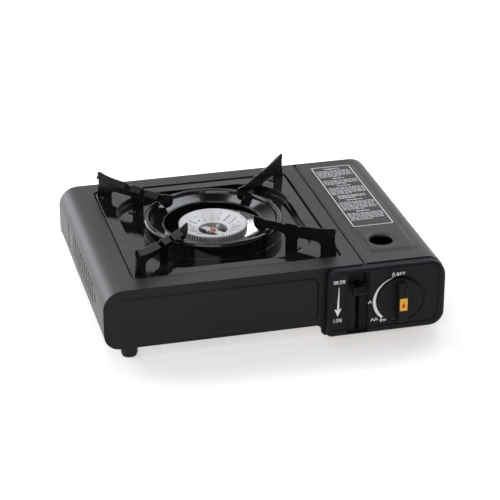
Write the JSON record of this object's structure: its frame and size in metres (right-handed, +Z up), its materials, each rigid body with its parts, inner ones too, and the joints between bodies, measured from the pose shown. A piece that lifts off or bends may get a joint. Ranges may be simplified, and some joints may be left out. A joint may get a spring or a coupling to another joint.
{
  "type": "butane cassette stove",
  "caption": "Portable butane cassette stove: sheet casing with hinged cartridge lid, lift-off drip tray with pan supports, aluminium burner, knob and cartridge lock lever.",
  "frame": {"origin": "centre of the bounding box's underside, on the ground that the feet stand on", "axes": "+X to the right seen from the controls, +Y to the back, +Z up"},
  "size_m": [0.343, 0.282, 0.1089],
  "materials": {
    "casing_paint": "semi-gloss black paint on sheet steel",
    "enamel": "glossy black enamel on sheet steel",
    "fascia_plastic": "finely textured black plastic",
    "galvanised": "galvanised sheet steel",
    "bright_steel": "bright galvanised sheet steel",
    "cast_alloy": "as-cast aluminium alloy",
    "burner_alloy": "turned and blasted aluminium",
    "yellow_passivated": "zinc plated and passivated steel",
    "brass": "turned brass",
    "copper": "copper plated",
    "screw_steel": "zinc plated steel",
    "ceramic": "glazed ceramic",
    "seal_rubber": "nitrile rubber",
    "foot_rubber": "moulded rubber",
    "lead_sleeve": "silicone sleeve",
    "indicator": "printed insert"
  },
  "bodies": {
    "casing": {"top_casing": "casing_paint", "base_plate": "galvanised", "front_panel": "casing_paint", "rear_panel": "casing_paint", "control_fascia": "fascia_plastic", "compartment_divider": "galvanised", "heat_shield": "bright_steel", "cartridge_cradle": "galvanised", "slide_guides": "galvanised", "regulator_body": "cast_alloy", "regulator_cap": "yellow_passivated", "cap_screws": "screw_steel", "stem_seal": "seal_rubber", "collar_plate": "galvanised", "gas_pipe": "brass", "gas_nozzle": "brass", "mixing_tube": "cast_alloy", "burner_body": "cast_alloy", "burner_cap": "burner_alloy", "burner_bridge": "burner_alloy", "burner_screw": "copper", "burner_bracket": "galvanised", "electrode_bracket": "galvanised", "spark_electrode": "ceramic", "piezo_igniter": "fascia_plastic", "ignition_lead": "lead_sleeve", "lever_bracket": "galvanised", "lever_pivot_pin": "screw_steel", "hinge_pins": "screw_steel", "casing_screws": "screw_steel", "panel_screws": "screw_steel", "feet_left": "foot_rubber", "feet_right": "foot_rubber", "foot_screws": "screw_steel"},
    "lid_body": {"lid": "casing_paint"},
    "tray_body": {"drip_tray": "enamel", "pan_support_1": "enamel", "pan_support_2": "enamel", "pan_support_3": "enamel", "pan_support_4": "enamel", "support_rivets": "enamel"},
    "knob_body": {"knob": "fascia_plastic", "knob_indicator": "indicator", "knob_spindle": "brass"},
    "lever_body": {"lever_arm": "galvanised", "lever_grip": "fascia_plastic"},
    "pusher_body": {"pusher": "galvanised"}
  },
  "joints": [
    {"name": "lid_hinge", "type": "hinge", "parent": "casing", "child": "lid_body", "pos_m": [0.0924, 0, 0.0784], "axis": [0, -1, 0], "range_deg": [0, 95]},
    {"name": "tray_lift", "type": "slide", "parent": "casing", "child": "tray_body", "axis": [0, 0, 1], "range_m": [0, 0.12]},
    {"name": "knob_turn", "type": "hinge", "parent": "casing", "child": "knob_body", "pos_m": [0.1217, -0.13, 0.045], "axis": [0, -1, 0], "range_deg": [0, 140]},
    {"name": "lever_swing", "type": "hinge", "parent": "casing", "child": "lever_body", "pos_m": [0.0796, -0.095, 0.0415], "axis": [1, 0, 0], "range_deg": [0, 56]},
    {"name": "pusher_slide", "type": "slide", "parent": "casing", "child": "pusher_body", "axis": [0, -1, 0], "range_m": [0, 0.00798]}
  ],
  "couplings": [
    {"joint": "lever_swing", "follows": "pusher_slide", "rad_per_m": 122.46}
  ]
}
